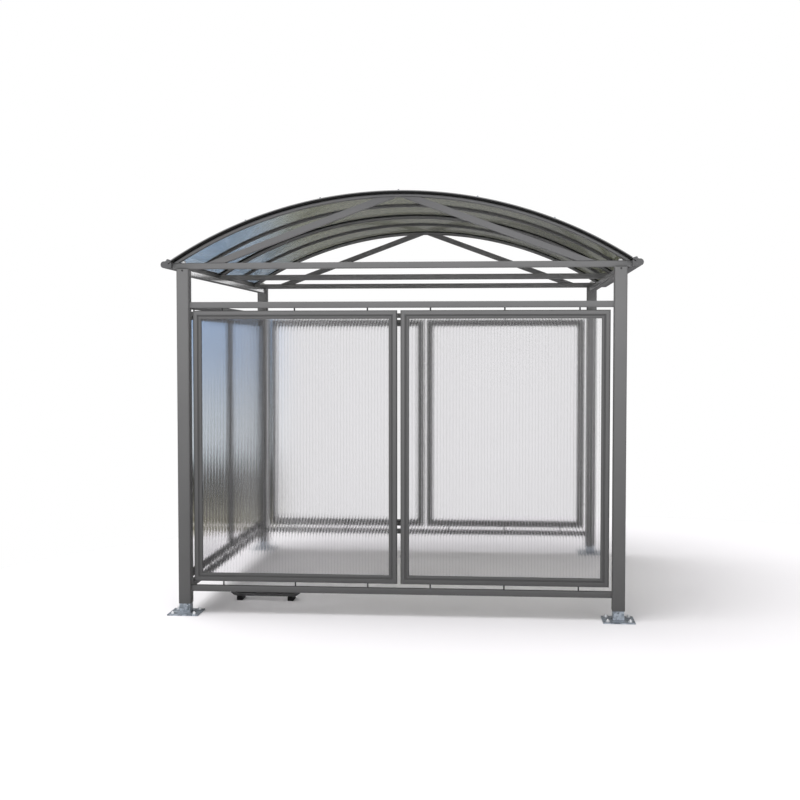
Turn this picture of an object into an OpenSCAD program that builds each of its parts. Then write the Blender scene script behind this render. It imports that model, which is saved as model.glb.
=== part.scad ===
// Arched-roof bike shelter: four posts, three clad walls, one open side and a
// barrel roof of clear sheet, with a low wheel rack inside.
// Origin at the centre of the footprint on the ground. X runs across the arch,
// Y runs front to back and Z is up.

/* [Overall] */
// Width across the outer faces of the posts
shelter_w = 2860; // [2300:10:3600]
// Depth across the outer faces of the posts
shelter_d = 2660; // [2100:10:3600]
// Height of the post tops, where the ties rest
post_top = 2227; // [1800:1:2800]

/* [Posts and feet] */
// Outer size of the square post tube
post_size = 80; // [60:1:120]
// Wall of the post tube
post_wall = 4; // [3:0.5:6]
// Height of the lower end of a post above the ground
post_lift = 66; // [40:1:120]
// Side of the square base plate
plate_size = 200; // [160:1:260]
// Thickness of the base plate
plate_t = 8; // [6:1:15]
// Distance between two bolt holes of a base plate
bolt_pitch = 140; // [120:1:150]
// Diameter of a bolt hole
bolt_d = 18; // [12:1:22]
// Wall of the foot's stub tube
stub_wall = 4; // [3:0.5:6]
// Length of stub inside the post
stub_grip = 150; // [80:5:250]
// Play between the stub and the inside of the post, each side
stub_gap = 0.3; // [0.1:0.1:1]

/* [Rails, ties and side beams] */
// Outer size of the square tube of rails, ties, side beams and struts
tube_size = 40; // [30:1:60]
// Wall of that tube
tube_wall = 2; // [1.5:0.5:4]
// Height of the top face of the top rails
top_rail_top = 2017; // [1500:1:2100]
// Height of the underside of the bottom rails
bottom_rail_base = 145; // [100:1:300]
// Distance a tie runs past the outer face of the posts
tie_reach = 28; // [15:1:60]
// Height of the bright edge strip on a side beam
edge_strip_h = 28; // [15:1:32]
// Thickness of that strip
edge_strip_t = 6; // [3:1:12]
// Drop of the strip's top edge below the top of the side beam
edge_strip_drop = 7; // [0:1:10]

/* [Roof] */
// Rise of the arch's outer face above the ties at the middle
arch_rise = 428; // [300:1:700]
// Height of the arch tube's section
arch_h = 20; // [16:1:40]
// Thickness of the rubber seal under the sheets
seal_t = 3; // [2:0.5:6]
// Thickness of a roof sheet
roof_sheet_t = 6; // [4:1:10]
// Thickness of a cover strip
strip_t = 8; // [4:1:12]
// Width of a cover strip
strip_w = 50; // [40:1:80]
// Distance the sheets run past the post faces at the front and back
roof_overhang = 15; // [0:1:60]
// Gap between two neighbouring sheets
sheet_split = 6; // [3:1:12]
// Width of the glazing bar under a sheet joint between two arches
bar_w = 24; // [16:1:40]
// Height of that glazing bar
bar_h = 12; // [8:1:20]
// Gap between pieces that seat on each other along a curve
seat_gap = 0.3; // [0.1:0.1:0.5]
// Slope of the struts under the arch
strut_angle = 20.3; // [16:0.1:26]
// Distance from the middle to where a strut's lower edge meets the tie
strut_foot = 1118; // [800:1:1250]

/* [Eaves profile] */
// Height of the eaves profile's underside above the underside of a tie
eave_lift = 5; // [0:1:10]
// Distance from the tie's end to the profile's nose
eave_reach = 69; // [55:1:90]
// Radius of the nose
nose_r = 22; // [16:1:26]
// Width of the V slot between the boss and the nose
slot_w = 10; // [6:1:14]
// Depth of the V slot's tip under the sheet's upper face
slot_deep = 13; // [8:1:16]
// Distance from the tie's end to the middle of the V slot's mouth
boss_out = 37; // [30:1:42]
// Distance from the tie's end to the boss's highest line
boss_mid = 25; // [15:1:30]
// Height of the boss's highest line over the sheet
boss_top = 13; // [8:1:18]
// Height of the boss's edges over the sheet
boss_side = 4; // [2:1:8]
// Depth the sheet goes into the profile
sheet_bite = 20; // [10:1:24]

/* [Wall panels] */
// Visible width of a panel frame's bars
frame_face = 54; // [44:1:70]
// Depth of a panel frame
frame_depth = 30; // [26:1:40]
// Gap between a panel frame and a post
post_gap = 20; // [10:1:30]
// Gap between two panel frames side by side
panel_gap = 22; // [10:1:40]
// Gap between a panel frame and the top rail
rail_gap_top = 16; // [8:1:30]
// Gap between a panel frame and the bottom rail
rail_gap_bottom = 27; // [8:1:40]
// Width of the flat outer part of a frame bar
frame_flat = 30; // [20:1:36]
// Set-back of the frame bar's inner lips from its faces
lip_setback = 7; // [3:1:8]
// Width of a frame bar's inner lip
lip_edge = 2; // [1:0.5:4]
// Thickness of a wall sheet
wall_sheet_t = 10; // [6:1:10]
// Depth of the groove that holds the wall sheet
groove_depth = 10; // [6:1:14]
// Play on each face of the wall sheet in its groove
groove_gap = 0.3; // [0.1:0.1:0.8]
// Space left behind the sheet's edge in the groove
groove_rest = 2; // [0.5:0.5:4]
// Gap at each mitre of a panel frame
mitre_gap = 0.3; // [0.1:0.1:1]
// Diameter of the pins that carry a frame between the rails
pin_d = 10; // [6:1:16]
// Distance from the end of a frame to its outer pins
pin_inset = 190; // [80:5:300]

/* [Wheel rack] */
// Overall length of the rack
rack_len = 480; // [400:5:700]
// Side of the rack's square bars
rack_bar = 16; // [12:1:24]
// Clear gap between the two bars, where a wheel stands
rack_slot = 49; // [40:1:70]
// Height of the rack's feet
rack_foot_h = 28; // [20:1:60]
// Width of a rack foot
rack_foot_w = 39; // [25:1:60]
// Length of a rack foot across the two bars
rack_foot_l = 105; // [100:1:160]
// Slope of the upturned ends
rack_tip_angle = 35; // [20:1:60]
// Radius of the bends, at the middle of the bar
rack_bend_r = 34; // [24:1:60]
// Straight length of an upturned end
rack_tip = 26; // [10:1:60]
// Distance from the left post's outer face to the rack's left end
rack_x = 236; // [150:1:600]
// Distance from the front post's outer face to the rack's middle line
rack_y = 512; // [350:1:900]

/* [Hidden] */
$fn = 96;
// Segments of the roof's large circles
arc_fn = 1800;
eps = 1;
half_w = shelter_w / 2;
half_d = shelter_d / 2;
post_x = half_w - post_size / 2;
post_y = half_d - post_size / 2;
inner_w = shelter_w - 2 * post_size;
inner_d = shelter_d - 2 * post_size;
tie_top = post_top + tube_size;
tie_half = half_w + tie_reach;
// Roof arc: its outer tube face meets the tie top just inside the tie's ends
arch_land = tie_half - 2;
arch_r = (arch_land * arch_land + arch_rise * arch_rise) / (2 * arch_rise);
arc_z = tie_top + arch_rise - arch_r;
seal_r = arch_r + seat_gap;
sheet_r = seal_r + seal_t + seat_gap;
strip_r = sheet_r + roof_sheet_t + seat_gap;
roof_half = half_d + roof_overhang;
joint_ys = [-post_y / 2, 0, post_y / 2];
strip_edge = roof_half - strip_w / 2;
// Panels
frame_base = bottom_rail_base + tube_size + rail_gap_bottom;
frame_top = top_rail_top - tube_size - rail_gap_top;
frame_h = frame_top - frame_base;
long_frame_w = (inner_w - 2 * post_gap - panel_gap) / 2;
side_frame_w = (inner_d - 2 * post_gap - panel_gap) / 2;
long_frame_x = (long_frame_w + panel_gap) / 2;
side_frame_y = (side_frame_w + panel_gap) / 2;
sheet_inset = frame_face - groove_depth + groove_rest;
// Rack
rack_cx = rack_x + rack_len / 2 - half_w;
rack_cy = rack_y - half_d;
rack_run = rack_len / 2 - rack_bend_r * sin(rack_tip_angle) - rack_tip * cos(rack_tip_angle)
    - rack_bar / 2 * sin(rack_tip_angle);
rack_foot_x = rack_run - rack_foot_w / 2;

steel = [0.44, 0.44, 0.45];
dark_steel = [0.36, 0.36, 0.37];
galvanised = [0.62, 0.66, 0.70];
bright = [0.80, 0.81, 0.82];
frame_grey = [0.40, 0.40, 0.41];
rubber = [0.05, 0.05, 0.05];
smoked = [0.45, 0.45, 0.40, 0.6];
clear = [0.85, 0.88, 0.90, 0.5];

// ---- Shared shapes ----

// Square tube lying along X, centred on X and Y, with its base at z = 0
module tube_x(length) {
    difference() {
        translate([-length / 2, -tube_size / 2, 0])
            cube([length, tube_size, tube_size]);
        translate([-length / 2 - eps, -tube_size / 2 + tube_wall, tube_wall])
            cube([length + 2 * eps, tube_size - 2 * tube_wall, tube_size - 2 * tube_wall]);
    }
}

// Part of a ring in the XZ plane, centred on the roof's arc: cut upright at both
// ends, and level at the bottom where floor_z is given
module roof_ring(r_in, r_out, y0, y1, half, floor_z = arc_z) {
    translate([0, y1, arc_z])
        rotate([90, 0, 0])
            linear_extrude(y1 - y0)
                intersection() {
                    difference() {
                        circle(r = r_out, $fn = arc_fn);
                        circle(r = r_in, $fn = arc_fn);
                    }
                    translate([-half, floor_z - arc_z])
                        square([2 * half, r_out * 2]);
                }
}

// ---- Posts and feet ----

// Square tube post with a closed top
module post(x, y) {
    bore = post_size - 2 * post_wall;
    color(steel)
        translate([x, y, 0])
            difference() {
                translate([-post_size / 2, -post_size / 2, post_lift])
                    cube([post_size, post_size, post_top - post_lift]);
                translate([-bore / 2, -bore / 2, post_lift - eps])
                    cube([bore, bore, post_top - post_lift - post_wall + eps]);
            }
}

// Galvanised foot: a drilled base plate with a stub tube that fits in the post
module foot(x, y) {
    stub = post_size - 2 * post_wall - 2 * stub_gap;
    bore = stub - 2 * stub_wall;
    stub_top = post_lift + stub_grip;
    color(galvanised)
        translate([x, y, 0])
            difference() {
                union() {
                    translate([-plate_size / 2, -plate_size / 2, 0])
                        cube([plate_size, plate_size, plate_t]);
                    translate([-stub / 2, -stub / 2, 0])
                        cube([stub, stub, stub_top]);
                }
                translate([-bore / 2, -bore / 2, plate_t])
                    cube([bore, bore, stub_top]);
                for (sx = [-1, 1], sy = [-1, 1])
                    translate([sx * bolt_pitch / 2, sy * bolt_pitch / 2, -eps])
                        cylinder(d = bolt_d, h = plate_t + 2 * eps);
            }
}

// ---- Rails, ties and side beams ----

module long_rail(y, z) {
    color(steel) translate([0, y, z]) tube_x(inner_w);
}

module side_rail(x, z) {
    color(steel) translate([x, 0, z]) rotate([0, 0, 90]) tube_x(inner_d);
}

module tie(y) {
    color(steel) translate([0, y, post_top]) tube_x(2 * tie_half);
}

// Bright strip along the inner face of a side beam, between the posts
module edge_strip(side) {
    face = post_x - tube_size / 2;
    x0 = side > 0 ? face - edge_strip_t : -face;
    color(bright)
        translate([x0, -inner_d / 2, post_top - edge_strip_drop - edge_strip_h])
            cube([edge_strip_t, inner_d, edge_strip_h]);
}

// ---- Roof ----

// Bent tube that springs from the top of a tie
module arch(y) {
    color(steel)
        difference() {
            roof_ring(arch_r - arch_h, arch_r, y - tube_size / 2, y + tube_size / 2,
                arch_r + eps, tie_top);
            roof_ring(arch_r - arch_h + tube_wall, arch_r - tube_wall,
                y - tube_size / 2 + tube_wall, y + tube_size / 2 - tube_wall,
                arch_r + eps, tie_top - arch_h);
        }
}

// Straight strut from the tie up to the underside of the arch
module strut(side, y) {
    span = strut_foot / cos(strut_angle);
    inside = tube_size - 2 * tube_wall;
    color(dark_steel)
        mirror([side > 0 ? 0 : 1, 0, 0])
            intersection() {
                translate([strut_foot, y, tie_top])
                    rotate([0, strut_angle, 0])
                        difference() {
                            translate([-span, -tube_size / 2, 0])
                                cube([span + 4 * tube_size, tube_size, tube_size]);
                            translate([-span - eps, -inside / 2, tube_wall])
                                cube([span + 5 * tube_size, inside, inside]);
                        }
                translate([0, y + tube_size, arc_z])
                    rotate([90, 0, 0])
                        linear_extrude(2 * tube_size)
                            intersection() {
                                circle(r = arch_r - arch_h - seat_gap, $fn = arc_fn);
                                translate([eps, tie_top - arc_z])
                                    square([arch_r, arch_r]);
                            }
            }
}

// Slim bars under the sheet joints that lie between two arches
module glazing_bars() {
    color(dark_steel)
        for (y = [joint_ys[0], joint_ys[2]])
            roof_ring(sheet_r - seat_gap - bar_h, sheet_r - seat_gap,
                y - bar_w / 2, y + bar_w / 2, tie_half - sheet_bite);
}

// Black rubber seals on the arches
module roof_seals() {
    color(rubber)
        for (y = [-post_y, 0, post_y])
            roof_ring(seal_r, seal_r + seal_t, y - tube_size / 2, y + tube_size / 2,
                tie_half - seal_t);
}

// Strips that clamp the sheets' edges, over the joints and at both ends
module cover_strips() {
    color(steel)
        for (y = concat([-strip_edge], joint_ys, [strip_edge]))
            roof_ring(strip_r, strip_r + strip_t, y - strip_w / 2, y + strip_w / 2,
                tie_half - seat_gap);
}

// One curved sheet between two joints
module roof_sheet(y0, y1) {
    color(smoked)
        roof_ring(sheet_r, sheet_r + roof_sheet_t, y0, y1, tie_half + sheet_bite);
}

// Extruded eaves profile: a slot for the sheets, a boss over it, a V slot and a round nose
module eave(side) {
    z0 = post_top + eave_lift;
    sheet_z = arc_z + sqrt(pow(sheet_r + roof_sheet_t, 2) - tie_half * tie_half);
    nose_x = tie_half + eave_reach - nose_r;
    nose_z = z0 + nose_r;
    slot_x = tie_half + boss_out;
    color(frame_grey)
        mirror([side > 0 ? 0 : 1, 0, 0])
            difference() {
                translate([0, roof_half, 0])
                    rotate([90, 0, 0])
                        linear_extrude(2 * roof_half)
                            difference() {
                                union() {
                                    polygon([
                                        [tie_half, z0],
                                        [nose_x, z0],
                                        [nose_x, nose_z],
                                        [slot_x, sheet_z + boss_side],
                                        [tie_half + boss_mid, sheet_z + boss_top],
                                        [tie_half, sheet_z + boss_side]
                                    ]);
                                    translate([nose_x, nose_z])
                                        circle(r = nose_r);
                                }
                                polygon([
                                    [slot_x - slot_w / 2, sheet_z + boss_top],
                                    [slot_x + slot_w / 2, sheet_z + boss_top],
                                    [slot_x - slot_w / 2, sheet_z - slot_deep]
                                ]);
                            }
                roof_ring(sheet_r - seat_gap, sheet_r + roof_sheet_t + seat_gap,
                    -roof_half - eps, roof_half + eps, tie_half + sheet_bite + groove_rest);
            }
}

// ---- Wall panels ----

// Mitred bar of a panel frame lying along X: outer edge at z = 0, inner edge up
module frame_bar(length) {
    lip = (frame_depth - wall_sheet_t) / 2 - groove_gap;
    inner = frame_face - groove_depth;
    intersection() {
        translate([-length / 2, -frame_depth / 2, 0])
            rotate([90, 0, 90])
                linear_extrude(length)
                    polygon([
                        [0, 0],
                        [frame_depth, 0],
                        [frame_depth, frame_flat],
                        [frame_depth - lip_setback, frame_face - lip_edge],
                        [frame_depth - lip_setback, frame_face],
                        [frame_depth - lip, frame_face],
                        [frame_depth - lip, inner],
                        [lip, inner],
                        [lip, frame_face],
                        [lip_setback, frame_face],
                        [lip_setback, frame_face - lip_edge],
                        [0, frame_flat]
                    ]);
        translate([0, frame_depth, 0])
            rotate([90, 0, 0])
                linear_extrude(2 * frame_depth)
                    polygon([
                        [-length / 2 + mitre_gap, 0],
                        [length / 2 - mitre_gap, 0],
                        [length / 2 - mitre_gap - frame_face, frame_face],
                        [-length / 2 + mitre_gap + frame_face, frame_face]
                    ]);
    }
}

// Four mitred bars around one sheet
module panel_frame(width) {
    color(frame_grey) {
        translate([0, 0, frame_base]) frame_bar(width);
        translate([0, 0, frame_top]) mirror([0, 0, 1]) frame_bar(width);
        for (side = [-1, 1])
            translate([side * width / 2, 0, (frame_base + frame_top) / 2])
                rotate([0, -side * 90, 0])
                    frame_bar(frame_h);
    }
}

module panel_sheet(width) {
    color(clear)
        translate([-width / 2 + sheet_inset, -wall_sheet_t / 2, frame_base + sheet_inset])
            cube([width - 2 * sheet_inset, wall_sheet_t, frame_h - 2 * sheet_inset]);
}

// Round pins above and below one panel frame
module panel_pins(width) {
    color(dark_steel)
        for (x = [-width / 2 + pin_inset, 0, width / 2 - pin_inset]) {
            translate([x, 0, frame_top])
                cylinder(d = pin_d, h = rail_gap_top);
            translate([x, 0, frame_base - rail_gap_bottom])
                cylinder(d = pin_d, h = rail_gap_bottom);
        }
}

module at_long(side, y) {
    translate([side * long_frame_x, y, 0]) children();
}

module at_side(side) {
    translate([-post_x, side * side_frame_y, 0]) rotate([0, 0, 90]) children();
}

// ---- Wheel rack ----

// Outline of half a rack bar: the straight run, a bend and the upturned end
module rack_half() {
    inner_r = rack_bend_r - rack_bar / 2;
    square([rack_run, rack_bar]);
    translate([rack_run, rack_bend_r + rack_bar / 2])
        difference() {
            intersection() {
                circle(r = inner_r + rack_bar);
                polygon([
                    [0, 0],
                    [0, -3 * rack_bend_r],
                    3 * rack_bend_r * [sin(rack_tip_angle), -cos(rack_tip_angle)]
                ]);
            }
            circle(r = inner_r);
        }
    translate([rack_run + rack_bend_r * sin(rack_tip_angle),
            rack_bend_r * (1 - cos(rack_tip_angle)) + rack_bar / 2])
        rotate(rack_tip_angle)
            translate([0, -rack_bar / 2])
                square([rack_tip, rack_bar]);
}

module rack_bar(side) {
    color(dark_steel)
        translate([rack_cx, rack_cy + side * (rack_slot + rack_bar) / 2 + rack_bar / 2, rack_foot_h])
            rotate([90, 0, 0])
                linear_extrude(rack_bar) {
                    rack_half();
                    mirror([1, 0]) rack_half();
                }
}

// Flat feet that carry both bars
module rack_feet() {
    color(rubber)
        for (side = [-1, 1])
            translate([rack_cx + side * rack_foot_x - rack_foot_w / 2,
                    rack_cy - rack_foot_l / 2, 0])
                cube([rack_foot_w, rack_foot_l, rack_foot_h]);
}

// ---- Nodes ----

post(-post_x, -post_y);  // post_front_left
post(post_x, -post_y);  // post_front_right
post(-post_x, post_y);  // post_rear_left
post(post_x, post_y);  // post_rear_right
foot(-post_x, -post_y);  // foot_front_left
foot(post_x, -post_y);  // foot_front_right
foot(-post_x, post_y);  // foot_rear_left
foot(post_x, post_y);  // foot_rear_right
long_rail(-post_y, top_rail_top - tube_size);  // top_rail_front
long_rail(post_y, top_rail_top - tube_size);  // top_rail_rear
side_rail(-post_x, top_rail_top - tube_size);  // top_rail_left
long_rail(-post_y, bottom_rail_base);  // bottom_rail_front
long_rail(post_y, bottom_rail_base);  // bottom_rail_rear
side_rail(-post_x, bottom_rail_base);  // bottom_rail_left
tie(-post_y);  // tie_front
tie(0);  // tie_middle
tie(post_y);  // tie_rear
side_rail(-post_x, post_top - tube_size);  // side_beam_left
side_rail(post_x, post_top - tube_size);  // side_beam_right
for (side = [-1, 1]) edge_strip(side);  // edge_strips
arch(-post_y);  // arch_front
arch(0);  // arch_middle
arch(post_y);  // arch_rear
for (side = [-1, 1]) strut(side, -post_y);  // struts_front
for (side = [-1, 1]) strut(side, post_y);  // struts_rear
glazing_bars();
roof_seals();
cover_strips();
roof_sheet(-roof_half, joint_ys[0] - sheet_split / 2);  // roof_sheet_1
roof_sheet(joint_ys[0] + sheet_split / 2, joint_ys[1] - sheet_split / 2);  // roof_sheet_2
roof_sheet(joint_ys[1] + sheet_split / 2, joint_ys[2] - sheet_split / 2);  // roof_sheet_3
roof_sheet(joint_ys[2] + sheet_split / 2, roof_half);  // roof_sheet_4
eave(-1);  // eave_left
eave(1);  // eave_right
for (side = [-1, 1]) at_long(side, -post_y) panel_frame(long_frame_w);  // frames_front
for (side = [-1, 1]) at_long(side, post_y) panel_frame(long_frame_w);  // frames_rear
for (side = [-1, 1]) at_side(side) panel_frame(side_frame_w);  // frames_left
for (side = [-1, 1]) at_long(side, -post_y) panel_sheet(long_frame_w);  // sheets_front
for (side = [-1, 1]) at_long(side, post_y) panel_sheet(long_frame_w);  // sheets_rear
for (side = [-1, 1]) at_side(side) panel_sheet(side_frame_w);  // sheets_left
for (side = [-1, 1]) at_long(side, -post_y) panel_pins(long_frame_w);  // pins_front
for (side = [-1, 1]) at_long(side, post_y) panel_pins(long_frame_w);  // pins_rear
for (side = [-1, 1]) at_side(side) panel_pins(side_frame_w);  // pins_left
for (side = [-1, 1]) rack_bar(side);  // rack_bars
rack_feet();
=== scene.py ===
import math

import bmesh
import bpy
from mathutils import Matrix, Vector


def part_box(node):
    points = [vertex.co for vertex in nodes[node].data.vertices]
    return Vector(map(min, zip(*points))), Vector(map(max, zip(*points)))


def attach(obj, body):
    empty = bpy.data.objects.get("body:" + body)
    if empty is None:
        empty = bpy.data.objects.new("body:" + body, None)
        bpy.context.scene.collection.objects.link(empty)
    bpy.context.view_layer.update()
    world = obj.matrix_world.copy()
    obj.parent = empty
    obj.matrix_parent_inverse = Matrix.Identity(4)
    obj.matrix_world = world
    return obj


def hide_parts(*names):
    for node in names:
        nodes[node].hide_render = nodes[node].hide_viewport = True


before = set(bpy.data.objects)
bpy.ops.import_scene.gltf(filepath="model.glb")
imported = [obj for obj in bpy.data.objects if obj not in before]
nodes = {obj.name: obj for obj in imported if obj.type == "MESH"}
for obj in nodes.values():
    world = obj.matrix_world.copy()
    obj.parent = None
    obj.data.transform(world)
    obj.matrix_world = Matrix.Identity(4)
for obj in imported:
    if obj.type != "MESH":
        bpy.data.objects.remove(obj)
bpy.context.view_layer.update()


# ---- Posts ----
# Four square steel tubes, 80 mm across with rounded corners, powder coated in
# a satin grey. Each has a closed top and slides over the stub of its foot.

class Wire:
    """A socket of a node tree. Python arithmetic on it adds Math nodes."""

    def __init__(self, tree, socket):
        self.tree = tree
        self.socket = socket

    def node(self, kind, settings=None, inputs=None, out=0):
        made = self.tree.nodes.new(kind)
        for key, value in (settings or {}).items():
            if key == "stops":
                ramp = made.color_ramp
                while len(ramp.elements) < len(value):
                    ramp.elements.new(0.5)
                for element, (place, colour) in zip(ramp.elements, value):
                    element.position = place
                    element.color = colour
            else:
                setattr(made, key, value)
        for key, value in (inputs or {}).items():
            if isinstance(value, Wire):
                self.tree.links.new(value.socket, made.inputs[key])
            else:
                made.inputs[key].default_value = value
        return Wire(self.tree, made.outputs[out])

    def maths(self, operation, first, second=0.0):
        return self.node("ShaderNodeMath", {"operation": operation}, {0: first, 1: second})

    def __add__(self, other):
        return self.maths("ADD", self, other)

    def __radd__(self, other):
        return self.maths("ADD", other, self)

    def __sub__(self, other):
        return self.maths("SUBTRACT", self, other)

    def __rsub__(self, other):
        return self.maths("SUBTRACT", other, self)

    def __truediv__(self, other):
        return self.maths("DIVIDE", self, other)

    def __mul__(self, other):
        return self.maths("MULTIPLY", self, other)

    def __rmul__(self, other):
        return self.maths("MULTIPLY", other, self)

    def mix(self, low, high):
        """Colour between low and high, with this wire as the factor."""
        return self.node("ShaderNodeMix", {"data_type": "RGBA", "clamp_factor": True},
                         {0: self, 6: low, 7: high}, out=2)

    def noise(self, scale, detail=2.0, rough=0.5):
        """Noise value at this wire's coordinates."""
        return self.node("ShaderNodeTexNoise", {},
                         {"Vector": self, "Scale": scale, "Detail": detail, "Roughness": rough})

    def band(self, low, high):
        """0 below low, 1 above high and smooth between."""
        return self.node("ShaderNodeMapRange", {"interpolation_type": "SMOOTHSTEP"},
                         {"Value": self, "From Min": low, "From Max": high})

    def bump(self, strength, distance):
        """Normal from this wire as a height."""
        return self.node("ShaderNodeBump", {},
                         {"Height": self, "Strength": strength, "Distance": distance})

    def axis(self, index):
        """One axis, 0 to 2, of this wire's coordinates."""
        return self.node("ShaderNodeSeparateXYZ", {}, {0: self}, out=index)

    def feed(self, socket):
        self.tree.links.new(self.socket, socket)


def new_finish(name, **constants):
    """A material with one Principled shader, its shader node and its Object coordinates."""
    material = bpy.data.materials.new(name)
    material.use_nodes = True
    shader = material.node_tree.nodes["Principled BSDF"]
    for key, value in constants.items():
        shader.inputs[key.replace("_", " ")].default_value = value
    places = material.node_tree.nodes.new("ShaderNodeTexCoord")
    return material, shader.inputs, Wire(material.node_tree, places.outputs["Object"])


def powder_coat(name, dark, light, rough):
    """Powder paint: cloudy colour, fine orange-peel skin and painted shade that deepens downwards.
    """
    material, shader, place = new_finish(name, Metallic=0.0, IOR=1.5,
                                         Specular_IOR_Level=0.35)
    clouds = place.noise(2.3, 3.0)
    # Painted shade: darker towards the ground, with faint blotches of grime over it.
    painted_low_shade_and_grime = (1 - place.axis(2).band(-0.2, 2.5)) * 0.85 + place.noise(5.0, 4.0) * 0.12
    painted_shade_colour = tuple(value * 0.42 for value in dark[:3]) + (1,)
    # Painted shade on rounded corners and recesses marked by the shade attribute.
    edges = place.node("ShaderNodeAttribute", {"attribute_name": "shade"}, {}, out="Fac")
    tone = (edges * 0.75).mix(clouds.mix(dark, light), painted_shade_colour)
    painted_low_shade_and_grime.mix(tone, painted_shade_colour).feed(shader["Base Color"])
    (rough + place.noise(38.0, 2.0) * 0.10 + painted_low_shade_and_grime * 0.12).feed(shader["Roughness"])
    peel = place.noise(420.0, 1.0) + place.noise(160.0, 1.0) * 0.6
    peel.bump(0.12, 0.0006).feed(shader["Normal"])
    return material


def add_bar(bm, low, high, radius, along=None, segments=3):
    """A box from low to high with the edges along one axis, or all of them, rounded.

    The attribute "shade" marks the rounded corners, which the paint darkens as painted shade."""
    low = Vector(low)
    high = Vector(high)
    verts = bmesh.ops.create_cube(bm, size=1.0)["verts"]
    bmesh.ops.scale(bm, vec=high - low, verts=verts)
    bmesh.ops.translate(bm, vec=(low + high) / 2, verts=verts)
    edges = {edge for vert in verts for edge in vert.link_edges}
    if along is not None:
        edges = {edge for edge in edges
                 if abs((edge.verts[0].co - edge.verts[1].co).normalized()[along]) > 0.9}
    shade = bm.verts.layers.float.get("shade") or bm.verts.layers.float.new("shade")
    made = bmesh.ops.bevel(bm, geom=list(edges), offset=radius, segments=segments,
                           affect="EDGES", profile=0.5, material=-1, offset_type="OFFSET")
    rounded = set(made["faces"])
    for vert in bm.verts:
        if rounded.issuperset(vert.link_faces):
            vert[shade] = 1.0


def finish_piece(name, bm, material, slot, *stands_for, smooth=35):
    """Turns a bmesh into a piece of the shelter with its finish."""
    mesh = bpy.data.meshes.new(name)
    bm.to_mesh(mesh)
    bm.free()
    mesh.shade_smooth()
    mesh.set_sharp_from_angle(angle=math.radians(smooth))
    mesh.materials.append(material)
    piece = bpy.data.objects.new(name, mesh)
    bpy.context.scene.collection.objects.link(piece)
    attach(piece, "root")
    if stands_for:
        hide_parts(*stands_for)
    return piece


post_paint = powder_coat("post_paint", (0.168, 0.168, 0.167, 1), (0.192, 0.192, 0.191, 1), 0.36)
post_corner = 0.009
post_wall = 0.004
post_rim = 0.0035
post_bore_shown = 0.12
facing_down = -0.99
post_end_area = 0.003
corners = [(depth, side) for depth in ("front", "rear") for side in ("left", "right")]

for depth, side in corners:
    node = f"post_{depth}_{side}"
    low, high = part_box(node)
    bm = bmesh.new()
    add_bar(bm, low, high, post_corner, along=2, segments=4)
    lower_rim = [edge for edge in bm.edges
                 if all(vert.co.z < low.z + 1e-5 for vert in edge.verts)]
    bmesh.ops.bevel(bm, geom=lower_rim, offset=post_rim, segments=3, affect="EDGES",
                    profile=0.5, material=-1)
    foot_end = [face for face in bm.faces if face.normal.z < facing_down]
    bmesh.ops.inset_region(bm, faces=foot_end, thickness=post_wall - post_rim,
                           use_even_offset=True)
    foot_end = [face for face in bm.faces
                if face.normal.z < facing_down and face.calc_area() > post_end_area]
    pushed = bmesh.ops.extrude_face_region(bm, geom=foot_end)["geom"]
    bmesh.ops.translate(bm, vec=(0, 0, post_bore_shown),
                        verts=[item for item in pushed if isinstance(item, bmesh.types.BMVert)])
    bmesh.ops.delete(bm, geom=foot_end, context="FACES_ONLY")
    finish_piece(f"{node}_tube", bm, post_paint, "painted_tube", node)


# ---- Feet ----
# Drilled base plates with a welded stub of square tube, hot-dip galvanised
# after welding, so zinc crystals show on every face. Bright zinc-plated nuts
# on washers hold each plate down at its four holes.

def galvanised(name):
    """Hot-dip zinc: crystals of mixed grey with darker, worn patches."""
    material, shader, place = new_finish(name, Metallic=0.6, IOR=1.8)
    spangle = place.node("ShaderNodeTexVoronoi", {"feature": "F1"},
                         {"Vector": place, "Scale": 75.0, "Randomness": 1.0}, out=1)
    tint = spangle.axis(0)
    worn = place.noise(22.0, 5.0, 0.6)
    flakes = tint * 0.7 + worn * 0.9 - 0.3
    flakes.mix((0.05, 0.065, 0.08, 1), (0.47, 0.52, 0.58, 1)).feed(shader["Base Color"])
    (0.28 + tint * 0.22 + worn * 0.12).feed(shader["Roughness"])
    (tint * 0.5 + place.noise(240.0, 2.0) * 0.5).bump(0.35, 0.0008).feed(shader["Normal"])
    return material


def paint_node(node, material):
    """Gives a CAD node its finish."""
    slots = nodes[node].data.materials
    slots.clear()
    slots.append(material)


zinc = galvanised("zinc")
plate_t = 0.008
bolt_spread = 0.070
weld_leg = 0.004
washer_r = 0.014
washer_t = 0.0025
nut_r = 0.0105
nut_h = 0.009
stud_r = 0.005
stud_h = 0.006
nut_taper = 0.94
stud_taper = 0.8
turn_across = 0.4
turn_back = 0.7

material, shader, place = new_finish("bright_zinc", Metallic=0.85, IOR=1.8)
smears = place.noise(130.0, 3.0)
smears.mix((0.72, 0.74, 0.76, 1), (0.93, 0.94, 0.95, 1)).feed(shader["Base Color"])
(0.22 + smears * 0.16).feed(shader["Roughness"])
smears.bump(0.1, 0.0003).feed(shader["Normal"])
bright_zinc = material

material, shader, place = new_finish("welded_zinc", Metallic=0.6, IOR=1.8)
beads = place.noise(260.0, 3.0)
beads.mix((0.07, 0.08, 0.10, 1), (0.20, 0.22, 0.25, 1)).feed(shader["Base Color"])
(0.45 + beads * 0.2).feed(shader["Roughness"])
beads.bump(0.5, 0.0008).feed(shader["Normal"])
welded_zinc = material

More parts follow.
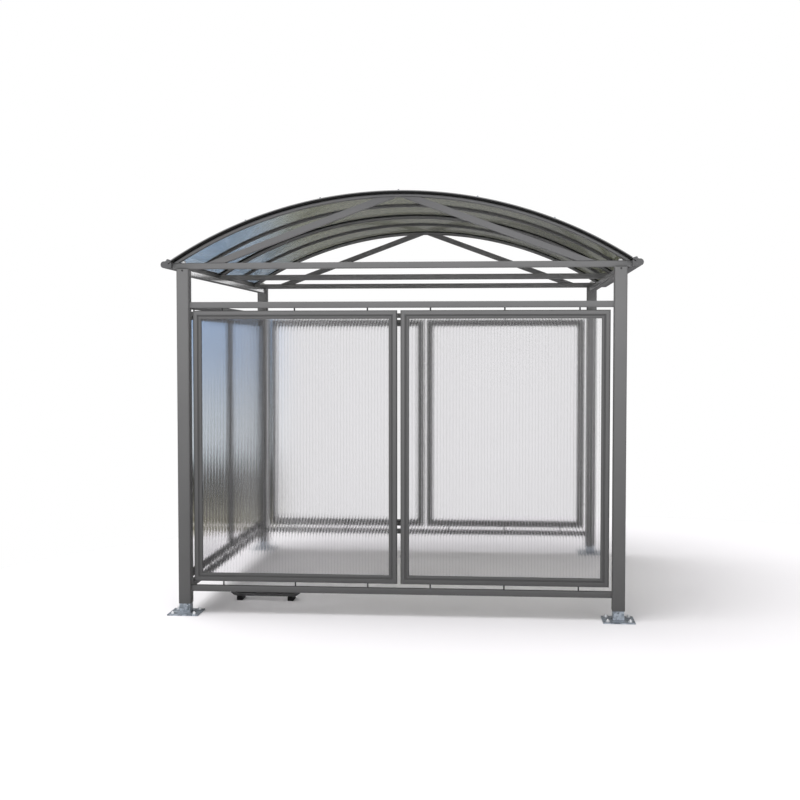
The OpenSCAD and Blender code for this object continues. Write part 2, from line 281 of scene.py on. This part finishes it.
anchors = bmesh.new()
welds = bmesh.new()
for depth, side in corners:
    node = f"foot_{depth}_{side}"
    paint_node(node, zinc)
    low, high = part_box(node)
    middle = (low + high) / 2
    plate_top = low.z + plate_t
    tube_low, tube_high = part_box(f"post_{depth}_{side}")
    stub = (tube_high.x - tube_low.x) / 2 - post_wall
    # Fillet weld: a four-sided frustum whose top closes on the stub
    ring = bmesh.ops.create_cone(welds, cap_ends=False, segments=4, depth=weld_leg,
                                 radius1=(stub + weld_leg) * math.sqrt(2),
                                 radius2=stub * math.sqrt(2))["verts"]
    bmesh.ops.rotate(welds, cent=(0, 0, 0), matrix=Matrix.Rotation(math.pi / 4, 3, "Z"),
                     verts=ring)
    bmesh.ops.translate(welds, vec=(middle.x, middle.y, plate_top + weld_leg / 2), verts=ring)
    # Anchor bolts: washer, hexagon nut and the end of the stud in each corner
    for across in (-1, 1):
        for back in (-1, 1):
            spot = Vector((middle.x + across * bolt_spread, middle.y + back * bolt_spread,
                           plate_top))
            turn = Matrix.Rotation(turn_across * across + turn_back * back, 4, "Z")
            for radius, tip, segments, start, height in (
                    (washer_r, washer_r, 24, 0.0, washer_t),
                    (nut_r, nut_r * nut_taper, 6, washer_t, nut_h),
                    (stud_r, stud_r * stud_taper, 16, washer_t + nut_h, stud_h)):
                bmesh.ops.create_cone(
                    anchors, cap_ends=True, segments=segments, radius1=radius, radius2=tip,
                    depth=height,
                    matrix=Matrix.Translation(spot + Vector((0, 0, start + height / 2))) @ turn)
finish_piece("foot_welds", welds, welded_zinc, "galvanised_foot")
finish_piece("foot_anchor_bolts", anchors, bright_zinc, "galvanised_foot", smooth=30)


# ---- Rails ----
# Lengths of 40 mm square tube between the posts, above and below the panels
# of the three clad walls, in the same paint as the posts.

rail_paint = powder_coat("rail_paint", (0.155, 0.155, 0.155, 1), (0.18, 0.18, 0.18, 1), 0.38)
rail_corner = 0.007
walls = {"front": 0, "rear": 0, "left": 1}

for wall, along in walls.items():
    for level in ("top", "bottom"):
        node = f"{level}_rail_{wall}"
        low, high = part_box(node)
        bm = bmesh.new()
        add_bar(bm, low, high, rail_corner, along=along)
        finish_piece(f"{node}_tube", bm, rail_paint, "painted_tube", node)


# ---- Ties and side beams ----
# The same square tube, laid across the post tops under each arch and along
# the two sides between the posts.

for place_name in ("front", "middle", "rear"):
    node = f"tie_{place_name}"
    low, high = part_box(node)
    bm = bmesh.new()
    add_bar(bm, low, high, rail_corner, along=0)
    finish_piece(f"{node}_tube", bm, rail_paint, "painted_tube", node)

for side in ("left", "right"):
    node = f"side_beam_{side}"
    low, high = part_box(node)
    bm = bmesh.new()
    add_bar(bm, low, high, rail_corner, along=1)
    finish_piece(f"{node}_tube", bm, rail_paint, "painted_tube", node)


# ---- Caps and bolts at the post tops ----
# A white plastic cap on each tie end covers the screw into the post, and a
# black domed bolt ties each post to its tie from outside.

material, shader, place = new_finish("white_plastic", Metallic=0.0, IOR=1.46)
aged = place.noise(30.0, 3.0)
aged.mix((0.86, 0.86, 0.85, 1), (0.95, 0.95, 0.95, 1)).feed(shader["Base Color"])
(0.25 + aged * 0.15).feed(shader["Roughness"])
aged.bump(0.05, 0.0003).feed(shader["Normal"])
white_plastic = material

material, shader, place = new_finish("black_zinc", Metallic=0.6, IOR=1.8)
rub = place.noise(90.0, 3.0)
rub.mix((0.015, 0.015, 0.015, 1), (0.06, 0.06, 0.06, 1)).feed(shader["Base Color"])
(0.30 + rub * 0.25).feed(shader["Roughness"])
rub.bump(0.1, 0.0003).feed(shader["Normal"])
black_zinc = material

cap_r = 0.016
cap_h = 0.013
bolt_r = 0.0045
bolt_drop = 0.010
collar_scale = 1.4
collar_t = 0.0012
collar_out = 0.0005
caps = bmesh.new()
bolts = bmesh.new()
for depth, side in corners:
    low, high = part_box(f"post_{depth}_{side}")
    tie_low, tie_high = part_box(f"tie_{depth}")
    middle = (low + high) / 2
    dome = bmesh.ops.create_uvsphere(caps, u_segments=24, v_segments=16, radius=cap_r)["verts"]
    bmesh.ops.scale(caps, vec=(1, 0.9, cap_h / cap_r), verts=dome)
    bmesh.ops.translate(caps, vec=(middle.x, middle.y, tie_high.z), verts=dome)
    outward = -1 if depth == "front" else 1
    face_y = low.y if depth == "front" else high.y
    head = bmesh.ops.create_uvsphere(bolts, u_segments=20, v_segments=12, radius=bolt_r)["verts"]
    bmesh.ops.scale(bolts, vec=(1, 0.6, 1), verts=head)
    bmesh.ops.translate(bolts, vec=(middle.x, face_y, high.z - bolt_drop), verts=head)
    bmesh.ops.create_cone(bolts, cap_ends=True, segments=24,
                          radius1=bolt_r * collar_scale, radius2=bolt_r * collar_scale,
                          depth=collar_t,
                          matrix=Matrix.Translation((middle.x, face_y + outward * collar_out,
                                                     high.z - bolt_drop))
                          @ Matrix.Rotation(math.pi / 2, 4, "X"))
bmesh.ops.bisect_plane(caps, geom=caps.verts[:] + caps.edges[:] + caps.faces[:], dist=1e-6,
                       plane_co=(0, 0, tie_high.z), plane_no=(0, 0, -1), clear_outer=True)
bmesh.ops.holes_fill(caps, edges=caps.edges[:], sides=0)
finish_piece("tie_end_caps", caps, white_plastic, "painted_tube", smooth=50)
finish_piece("post_top_bolts", bolts, black_zinc, "painted_tube", smooth=50)


# ---- Edge strips ----
# Bright extruded aluminium strips on the inner faces of the side beams, left
# in their mill finish, with fine draw lines along their length.

material, shader, place = new_finish("mill_aluminium", Metallic=0.9, IOR=1.5)
stretched = place.node("ShaderNodeMapping", {}, {"Vector": place, "Scale": (1.0, 0.012, 1.0)})
lines = stretched.noise(900.0, 3.0, 0.6)
lines.mix((0.80, 0.80, 0.80, 1), (0.93, 0.93, 0.93, 1)).feed(shader["Base Color"])
(0.16 + lines * 0.10).feed(shader["Roughness"])
lines.bump(0.10, 0.0003).feed(shader["Normal"])
mill_aluminium = material
paint_node("edge_strips", mill_aluminium)


# ---- Roof arches ----
# Flat-sided steel tube, 40 by 20 mm, bent to the roof's arc. The ends are cut
# level and stand on the ties.

tie_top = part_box("tie_middle")[1].z
arch_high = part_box("arch_middle")[1]
arch_rise = arch_high.z - tie_top
arch_r = (arch_high.x ** 2 + arch_rise ** 2) / (2 * arch_rise)
arc_centre = Vector((0, 0, arch_high.z - arch_r))
arch_h = 0.020
arc_steps = 96


def add_arc(bm, r_in, r_out, y0, y1, half, edge=0.0012, dark_rim=False):
    """A bar of chamfered section, spun round the roof's arc and cut upright at its ends.

    dark_rim marks the inner corners in "shade", for painted shade along the underside."""
    reach = math.asin(min(0.99, (half + 0.03) / r_in))
    outline = [(r_in, y0 + edge), (r_in + edge, y0), (r_out - edge, y0), (r_out, y0 + edge),
               (r_out, y1 - edge), (r_out - edge, y1), (r_in + edge, y1), (r_in, y1 - edge)]
    shade = bm.verts.layers.float.get("shade") or bm.verts.layers.float.new("shade")
    verts = [bm.verts.new(arc_centre + Vector((-r * math.sin(reach), y, r * math.cos(reach))))
             for r, y in outline]
    for vert, (r, y) in zip(verts, outline):
        if dark_rim and r == r_in:
            vert[shade] = 1.0
    edges = [bm.edges.new((verts[i], verts[(i + 1) % len(verts)])) for i in range(len(verts))]
    bmesh.ops.spin(bm, geom=verts + edges, cent=arc_centre, axis=(0, 1, 0),
                   dvec=(0, 0, 0), angle=2 * reach, steps=arc_steps, use_merge=False)
    for x, normal in ((half, (1, 0, 0)), (-half, (-1, 0, 0))):
        bmesh.ops.bisect_plane(bm, geom=bm.verts[:] + bm.edges[:] + bm.faces[:], dist=1e-6,
                               plane_co=(x, 0, 0), plane_no=normal, clear_outer=True)
    bmesh.ops.holes_fill(bm, edges=bm.edges[:], sides=0)
    bmesh.ops.recalc_face_normals(bm, faces=bm.faces[:])


arch_paint = powder_coat("arch_paint", (0.17, 0.17, 0.172, 1), (0.195, 0.195, 0.197, 1), 0.34)

for place_name in ("front", "middle", "rear"):
    node = f"arch_{place_name}"
    low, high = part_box(node)
    bm = bmesh.new()
    # The inner corners carry painted shade.
    add_arc(bm, arch_r - arch_h, arch_r, low.y, high.y, high.x, edge=0.005, dark_rim=True)
    bmesh.ops.bisect_plane(bm, geom=bm.verts[:] + bm.edges[:] + bm.faces[:], dist=1e-6,
                           plane_co=(0, 0, tie_top), plane_no=(0, 0, -1), clear_outer=True)
    bmesh.ops.holes_fill(bm, edges=bm.edges[:], sides=0)
    bmesh.ops.recalc_face_normals(bm, faces=bm.faces[:])
    finish_piece(f"{node}_tube", bm, arch_paint, "painted_tube", node)


# ---- Struts ----
# Two straight lengths of 40 mm tube under the front and the rear arch, mitred
# to the tie below and to the arch above.

strut_paint = powder_coat("strut_paint", (0.135, 0.135, 0.137, 1), (0.16, 0.16, 0.162, 1), 0.36)
paint_node("struts_front", strut_paint)
paint_node("struts_rear", strut_paint)


# ---- Glazing bars ----
# Slim steel bars that carry the sheet joints between two arches.

low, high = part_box("glazing_bars")
bar_w = 0.024
bar_h = 0.012
sheet_t = 0.006
seat_gap = 0.0003
bar_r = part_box("roof_sheet_2")[1].z - arc_centre.z - sheet_t - seat_gap


def absorb(bm, part):
    """Moves a finished part into bm."""
    mesh = bpy.data.meshes.new("part")
    part.to_mesh(mesh)
    part.free()
    bm.from_mesh(mesh)
    bpy.data.meshes.remove(mesh)


def join_arcs(name, material, slot, parts, *stands_for):
    """One piece from several arcs, each given as its radii, ends along Y and half width."""
    bm = bmesh.new()
    for r_in, r_out, y0, y1, half in parts:
        part = bmesh.new()
        add_arc(part, r_in, r_out, y0, y1, half)
        absorb(bm, part)
    finish_piece(name, bm, material, slot, *stands_for)


join_arcs("glazing_bars_bent", strut_paint, "painted_tube",
          [(bar_r - bar_h, bar_r, y, y + bar_w, high.x) for y in (low.y, high.y - bar_w)],
          "glazing_bars")


# ---- Roof seals ----
# Black rubber strips between the arches and the sheets.

def black_rubber(name):
    """Black rubber with a faint pale bloom."""
    material, shader, place = new_finish(name, Metallic=0.0, IOR=1.5,
                                         Specular_IOR_Level=0.15)
    bloom = place.noise(14.0, 4.0)
    bloom.mix((0.005, 0.005, 0.005, 1), (0.018, 0.018, 0.018, 1)).feed(shader["Base Color"])
    (0.55 + bloom * 0.3).feed(shader["Roughness"])
    place.noise(700.0, 2.0).bump(0.2, 0.0004).feed(shader["Normal"])
    return material


rubber = black_rubber("rubber")
paint_node("roof_seals", rubber)


# ---- Roof sheets ----
# Four sheets of smoked clear polycarbonate, bent cold over the arches. They
# are glossy on both faces and let some light through.

material, shader, place = new_finish("smoked_sheet", Metallic=0.0, IOR=1.45,
                                     Transmission_Weight=1.0)
haze = place.noise(1.4, 2.0)
haze.mix((0.38, 0.385, 0.34, 1), (0.47, 0.475, 0.43, 1)).feed(shader["Base Color"])
(0.03 + place.noise(6.0, 3.0) * 0.06).feed(shader["Roughness"])
place.noise(2.2, 1.0).bump(0.06, 0.004).feed(shader["Normal"])
smoked_sheet = material

for number in range(1, 5):
    node = f"roof_sheet_{number}"
    low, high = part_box(node)
    r_out = high.z - arc_centre.z
    bm = bmesh.new()
    add_arc(bm, r_out - sheet_t, r_out, low.y, high.y, high.x, edge=0.0005)
    finish_piece(f"{node}_bent", bm, smoked_sheet, "roof_sheet", node)


# ---- Cover strips ----
# Painted strips that clamp the sheets' edges over the joints and at both ends,
# held down by screws with domed sealing washers, a black lip seal below.

strip_paint = powder_coat("strip_paint", (0.20, 0.20, 0.20, 1), (0.225, 0.225, 0.225, 1), 0.33)
low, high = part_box("cover_strips")
strip_w = 0.050
strip_t = 0.008
lip_t = 0.0015
lip_inset = 0.002
strip_r = high.z - arc_centre.z - strip_t
sheet_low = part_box("roof_sheet_2")[0].y
sheet_split = 0.006
joint = -sheet_low + sheet_split / 2
strip_middles = [low.y + strip_w / 2, -joint, 0.0, joint, high.y - strip_w / 2]

join_arcs("cover_strips_bent", strip_paint, "cover_strip",
          [(strip_r + lip_t, strip_r + strip_t, y - strip_w / 2, y + strip_w / 2, high.x)
           for y in strip_middles], "cover_strips")
join_arcs("cover_strip_lips", rubber, "seal",
          [(strip_r, strip_r + lip_t, y - strip_w / 2 + lip_inset, y + strip_w / 2 - lip_inset,
            high.x) for y in strip_middles])

sheet_r = strip_r - sheet_t - seat_gap
lip_drop = 0.002
roof_end = high.y
join_arcs("sheet_edge_gaskets", rubber, "seal",
          [(sheet_r - lip_drop, strip_r, roof_end, roof_end + lip_t, high.x),
           (sheet_r - lip_drop, strip_r, -roof_end - lip_t, -roof_end, high.x)])

screw_pitch = 0.50
screw_reach = 2
washer_h = 0.003
head_h = 0.005
bm = bmesh.new()
for y in strip_middles:
    for number in range(-screw_reach, screw_reach + 1):
        turn = number * screw_pitch / (strip_r + strip_t)
        foot = arc_centre + Vector((math.sin(turn), 0, math.cos(turn))) * (strip_r + strip_t)
        spot = Matrix.Translation(foot + Vector((0, y, 0))) @ Matrix.Rotation(turn, 4, "Y")
        bmesh.ops.create_cone(bm, cap_ends=True, segments=20, radius1=0.009, radius2=0.0075,
                              depth=washer_h, matrix=spot @ Matrix.Translation((0, 0, washer_h / 2)))
        bmesh.ops.create_cone(bm, cap_ends=True, segments=6, radius1=0.0052, radius2=0.0048,
                              depth=head_h,
                              matrix=spot @ Matrix.Translation((0, 0, washer_h + head_h / 2)))
finish_piece("cover_strip_screws", bm, zinc, "galvanised_foot", smooth=30)


# ---- Eaves profiles ----
# Extruded aluminium along both sides, painted: a slot holds the sheets' lower
# edges, and a V slot lies between it and the round nose.

eave_paint = powder_coat("eave_paint", (0.095, 0.095, 0.097, 1), (0.12, 0.12, 0.122, 1), 0.30)
paint_node("eave_left", eave_paint)
paint_node("eave_right", eave_paint)


# ---- Panel frames ----
# Mitred aluminium frames, two to a wall, painted like the posts but in a
# darker grey, standing on round pins between the rails. Painted shade darkens
# their outer rims and face grooves, and more lightly their sloped beads.

frame_paint = powder_coat("frame_paint", (0.15, 0.15, 0.15, 1), (0.17, 0.17, 0.17, 1), 0.40)
frame_face = 0.054
frame_depth = 0.030
frame_gap = 0.022
mitre_gap = 0.00015
# Distance back from the frame's face, at each distance in from its outer edge
face_line = [(0.0000, 0.0070), (0.0012, 0.0035), (0.0035, 0.0012), (0.0070, 0.0000),
             (0.0255, 0.0000), (0.0275, 0.0020), (0.0290, 0.0068), (0.0365, 0.0068),
             (0.0385, 0.0040), (0.0410, 0.0028), (0.0470, 0.0032), (0.0510, 0.0050),
             (0.0530, 0.0070), (0.0540, 0.0080)]
rebate = 0.0097
rebate_floor = 0.038
outer_edge = 0.0045
groove = (0.028, 0.0375)
bead_shade = 0.45


def frame_stick(bm, corner, out, across, length):
    """One mitred bar. Its outer edge runs from corner along across; out points outwards."""
    in_front = abs(across.x) > 0.5 or abs(out.x) > 0.5
    depth_way = Vector((0, 1, 0)) if in_front else Vector((1, 0, 0))
    section = list(face_line)
    section += [(frame_face, rebate), (rebate_floor, rebate),
                (rebate_floor, frame_depth - rebate), (frame_face, frame_depth - rebate)]
    section += [(inward, frame_depth - back) for inward, back in reversed(face_line)]
    shade = bm.verts.layers.float.new("shade")
    start = [bm.verts.new(corner - out * inward + depth_way * (back - frame_depth / 2))
             for inward, back in section]
    # Painted shade: full on the outer rim and in the groove, bead_shade on the sloped bead.
    for vert, (inward, back) in zip(start, section):
        if inward < outer_edge or groove[0] < inward < groove[1]:
            vert[shade] = 1.0
        elif inward > groove[1]:
            vert[shade] = bead_shade
    cap = bm.faces.new(start)
    grown = bmesh.ops.extrude_face_region(bm, geom=[cap])["geom"]
    moved = [item for item in grown if isinstance(item, bmesh.types.BMVert)]
    bmesh.ops.translate(bm, vec=across * length, verts=moved)
    for end, sign in ((corner, 1), (corner + across * length, -1)):
        bmesh.ops.bisect_plane(bm, geom=bm.verts[:] + bm.edges[:] + bm.faces[:], dist=1e-7,
                               plane_co=end + across * sign * mitre_gap,
                               plane_no=-(across * sign + out), clear_outer=True)
        bmesh.ops.holes_fill(bm, edges=bm.edges[:], sides=0)
    bmesh.ops.recalc_face_normals(bm, faces=bm.faces[:])


for wall, along in walls.items():
    low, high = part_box(f"frames_{wall}")
    way = Vector((1, 0, 0)) if along == 0 else Vector((0, 1, 0))
    line = (low + high) / 2
    line[along] = 0
    whole = bmesh.new()
    whole.verts.layers.float.new("shade")
    for start, end in ((low[along], -frame_gap / 2), (frame_gap / 2, high[along])):
        up = Vector((0, 0, 1))
        size_a, size_z = end - start, high.z - low.z
        base = Vector((line.x, line.y, low.z)) + way * start
        bars = [(base, -up, way, size_a), (base + up * size_z, up, way, size_a),
                (base, -way, up, size_z), (base + way * size_a, way, up, size_z)]
        for corner, out, across, length in bars:
            stick = bmesh.new()
            frame_stick(stick, corner, out, across, length)
            absorb(whole, stick)
    finish_piece(f"frames_{wall}_moulded", whole, frame_paint, "panel_frame", f"frames_{wall}",
                 smooth=28)

material, shader, place = new_finish("dull_steel", Metallic=0.7, IOR=2.0)
scuffs = place.noise(60.0, 4.0)
scuffs.mix((0.03, 0.03, 0.03, 1), (0.09, 0.09, 0.09, 1)).feed(shader["Base Color"])
(0.35 + scuffs * 0.25).feed(shader["Roughness"])
scuffs.bump(0.15, 0.0005).feed(shader["Normal"])
dull_steel = material
for wall in walls:
    paint_node(f"pins_{wall}", dull_steel)


# ---- Wall sheets ----
# Clear fluted polycarbonate, 10 mm thick. Its upright flutes bend the view, so
# level edges behind it break up into teeth and upright ones blur.

def fluted(name, across, depth):
    """Fluted clear sheet: flutes repeat along the axis numbered across, as deep as depth says."""
    material, shader, place = new_finish(name, Metallic=0.0, IOR=1.30,
                                         Transmission_Weight=1.0, Specular_IOR_Level=0.3)
    pitch = 0.020
    phase = place.axis(across) * (2 * math.pi / pitch)
    tooth = place.maths("SINE", phase)
    roll = place.maths("SINE", phase * 2.37)
    step = tooth.band(-0.35, 0.35) * 2 - 1
    web = tooth.band(0.60, 0.95)
    web.mix((0.86, 0.855, 0.865, 1), (0.79, 0.785, 0.795, 1)).feed(shader["Base Color"])
    (0.07 * depth + web * (0.08 * depth)).feed(shader["Roughness"])
    tilt = {0: 0.0, 1: 0.0, 2: step * (0.036 * depth)}
    tilt[across] = roll * (0.030 * depth)
    lean = place.node("ShaderNodeCombineXYZ", {}, tilt)
    face = place.node("ShaderNodeNewGeometry", {}, {}, out="Normal")
    bent = place.node("ShaderNodeVectorMath", {"operation": "ADD"}, {0: face, 1: lean})
    unit = place.node("ShaderNodeVectorMath", {"operation": "NORMALIZE"}, {0: bent})
    unit.feed(shader["Normal"])
    return material


sheet_gap = 0.114
sheet_edge = 0.0006
fluted_long = fluted("fluted_sheet_long", 0, 1.0)
fluted_side = fluted("fluted_sheet_side", 1, 0.12)

for wall, along in walls.items():
    low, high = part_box(f"sheets_{wall}")
    bm = bmesh.new()
    for sign in (-1, 1):
        start, end = low.copy(), high.copy()
        if sign < 0:
            end[along] = -sheet_gap / 2
        else:
            start[along] = sheet_gap / 2
        add_bar(bm, start, end, sheet_edge, segments=1)
    finish_piece(f"sheets_{wall}_fluted", bm, fluted_side if along else fluted_long,
                 "wall_sheet", f"sheets_{wall}")


# ---- Wheel rack ----
# Two steel bars with upturned ends on flat rubber feet, standing on the ground.

material, shader, place = new_finish("rack_paint", Metallic=0.3, IOR=1.6)
chips = place.noise(45.0, 5.0, 0.65)
chips.mix((0.035, 0.035, 0.036, 1), (0.085, 0.085, 0.087, 1)).feed(shader["Base Color"])
(0.35 + chips * 0.2).feed(shader["Roughness"])
chips.bump(0.1, 0.0005).feed(shader["Normal"])
paint_node("rack_bars", material)
paint_node("rack_feet", rubber)


# ---- Studio ----
# A round white floor in a white room. A broad soft light hangs overhead, a
# little to the left, and the room is bright on the side that faces the front.

floor_r = 5.0
floor_drop = 0.0005
bm = bmesh.new()
bmesh.ops.create_circle(bm, cap_ends=True, segments=96, radius=floor_r,
                        matrix=Matrix.Translation((1.5, -1.5, 0)))
mesh = bpy.data.meshes.new("floor")
bm.to_mesh(mesh)
bm.free()
mesh.transform(Matrix.Translation((0, 0, -floor_drop)))
floor = bpy.data.objects.new("floor", mesh)
bpy.context.scene.collection.objects.link(floor)
floor_paint = bpy.data.materials.new("floor_paint")
floor_paint.use_nodes = True
floor_shader = floor_paint.node_tree.nodes["Principled BSDF"].inputs
floor_shader["Base Color"].default_value = (0.805, 0.79, 0.805, 1)
floor_shader["Roughness"].default_value = 0.9
floor_shader["Specular IOR Level"].default_value = 0.0
mesh.materials.append(floor_paint)

lamp = bpy.data.objects.new("overhead_light", bpy.data.lights.new("overhead_light", "SUN"))
lamp.data.energy = 2.8
lamp.data.angle = math.radians(58)
lamp.rotation_euler = (math.radians(4), math.radians(-22), 0)
bpy.context.scene.collection.objects.link(lamp)

world = bpy.data.worlds.new("studio")
bpy.context.scene.world = world
world.use_nodes = True
tree = world.node_tree
background = tree.nodes["Background"]
ray = tree.nodes.new("ShaderNodeLightPath")
seen = Wire(tree, ray.outputs["Is Camera Ray"])
straight = Wire(tree, ray.outputs["Is Transmission Ray"])
bounces = Wire(tree, ray.outputs["Glossy Depth"]) + Wire(tree, ray.outputs["Diffuse Depth"])
passed = straight * (1 - bounces.maths("MINIMUM", bounces, 1.0))
look = Wire(tree, tree.nodes.new("ShaderNodeTexCoord").outputs["Generated"])
east, north, up = look.axis(0), look.axis(1), look.axis(2)
bearing = east / north

# Soft light of the room: bright towards the front, less so overhead
glow = 0.19 + (-1 * north).band(0.30, 1.0) * 1.27 + up.band(0.3, 1.0) * 0.36
shine = up.band(0.035, 0.05) * (1 - up.band(0.12, 0.16)) * bearing.band(0.10, 0.14)
glow = glow + shine * (1 - bearing.band(0.40, 0.50)) * north.band(0.3, 0.5) * 1.2
# Landscape beyond the left wall, seen only through the clear sheets
lawn = up.band(-0.150, -0.112).mix((0.36, 0.34, 0.24, 1), (0.010, 0.010, 0.001, 1))
haze_line = up.band(-0.075, 0.02).mix((0.86, 0.96, 1.02, 1), (0.48, 0.68, 0.98, 1))
view_left = up.band(-0.102, -0.080).mix(lawn, haze_line)
leftward = (1 - bearing.band(-0.200, -0.188)) * bearing.band(-0.62, -0.5) * north.band(0.3, 0.5)
through_wall = leftward.mix((1.0, 1.0, 1.0, 1), view_left)
# Sky and tree tops that tint the smoked roof
patches = look.noise(16.0, 3.0, 0.6).band(0.50, 0.62)
trees = patches.mix((0.55, 0.55, 0.50, 1), (0.72, 0.78, 0.28, 1))
leaves = look.noise(9.0, 3.0, 0.6).band(0.45, 0.65)
canopy = leaves.mix((0.88, 0.88, 0.77, 1), (0.82, 0.84, 0.58, 1))
far = (bearing.band(0.00, 0.075) * north.band(0.3, 0.5)).mix(canopy, trees)
clouds = look.noise(11.0, 3.0, 0.6).band(0.48, 0.66)
blue = clouds.mix((1.05, 1.45, 2.25, 1), (1.95, 2.15, 2.45, 1))
sky_left = (1 - bearing.band(-0.215, -0.165)) * bearing.band(-0.62, -0.5) * north.band(0.3, 0.5)
through_roof = sky_left.mix(far, blue)
through = up.band(0.035, 0.045).mix(through_wall, through_roof)
room = look.node("ShaderNodeCombineColor", {}, {0: glow, 1: glow, 2: glow * 1.01})
seen.mix(passed.mix(room, through), (1.0, 1.0, 1.0, 1)).feed(background.inputs["Color"])
background.inputs["Strength"].default_value = 1.0

camera = bpy.data.objects.new("camera", bpy.data.cameras.new("camera"))
camera.data.lens = 55.1
camera.data.sensor_width = 36.0
camera.location = (0.6756, -9.0521, 1.7158)
camera.rotation_euler = (math.pi / 2 - 0.0417, 0.0, 0.0859)
bpy.context.scene.collection.objects.link(camera)
bpy.context.scene.camera = camera
bpy.context.scene.view_settings.view_transform = "Standard"
